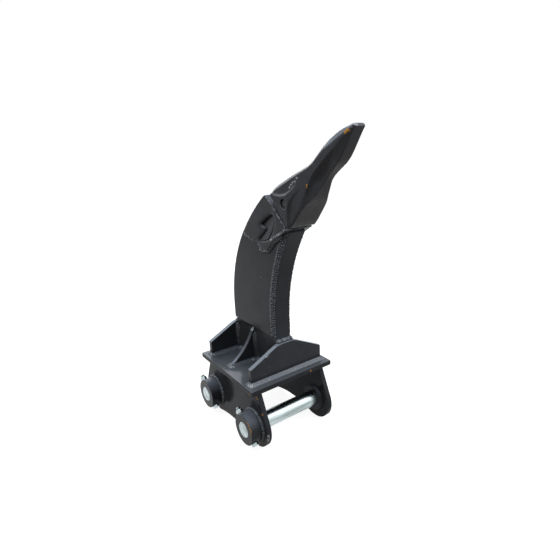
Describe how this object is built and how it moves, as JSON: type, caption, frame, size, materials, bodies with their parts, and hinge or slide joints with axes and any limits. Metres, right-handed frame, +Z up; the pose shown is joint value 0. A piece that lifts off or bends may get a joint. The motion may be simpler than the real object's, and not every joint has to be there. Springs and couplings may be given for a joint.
{
  "type": "excavator ripper with shank and tooth",
  "caption": "Pin-on excavator ripper: a curved welded shank on a plate with hanger ears and pins, with a weld-on adapter and a pinned replaceable tooth",
  "frame": {"origin": "middle of the front hanger pin, on which the dipper arm swings", "axes": "X runs forward, the way the shank bends; Y runs along the pins, with the collared ear at -Y; Z runs up from the hanger to the tooth, as the ripper stands in the picture"},
  "size_m": [0.6087, 0.3115, 0.8894],
  "materials": {
    "frame_paint": "glossy dark grey paint on steel plate, chipped to orange primer at a few edges",
    "cast_paint": "glossy dark grey paint on cast alloy steel, scuffed bright on its edges",
    "weld_paint": "dark grey paint over rippled fillet welds",
    "zinc_plate": "bright zinc plating with a slight yellow tint",
    "bare_steel": "plain dull steel"
  },
  "bodies": {
    "root": {"base_plate": "frame_paint", "left_ear": "frame_paint", "right_ear": "frame_paint", "front_collar": "frame_paint", "rear_collar": "frame_paint", "front_left_boss": "frame_paint", "rear_left_boss": "frame_paint", "front_right_boss": "frame_paint", "rear_right_boss": "frame_paint", "dipper_pin": "zinc_plate", "link_pin": "zinc_plate", "dipper_pin_bolt": "zinc_plate", "link_pin_bolt": "zinc_plate", "dipper_pin_nut": "zinc_plate", "link_pin_nut": "zinc_plate", "shank_core": "frame_paint", "left_cheek": "frame_paint", "right_cheek": "frame_paint", "front_gusset": "frame_paint", "rear_gusset": "frame_paint", "left_side_gusset": "frame_paint", "right_side_gusset": "frame_paint", "adapter": "cast_paint", "tooth": "cast_paint", "tooth_pin": "bare_steel", "tooth_pin_retainer": "bare_steel", "gusset_welds": "weld_paint", "ear_welds": "weld_paint", "collar_welds": "weld_paint", "cheek_welds": "weld_paint", "adapter_welds": "weld_paint"}
  },
  "joints": []
}
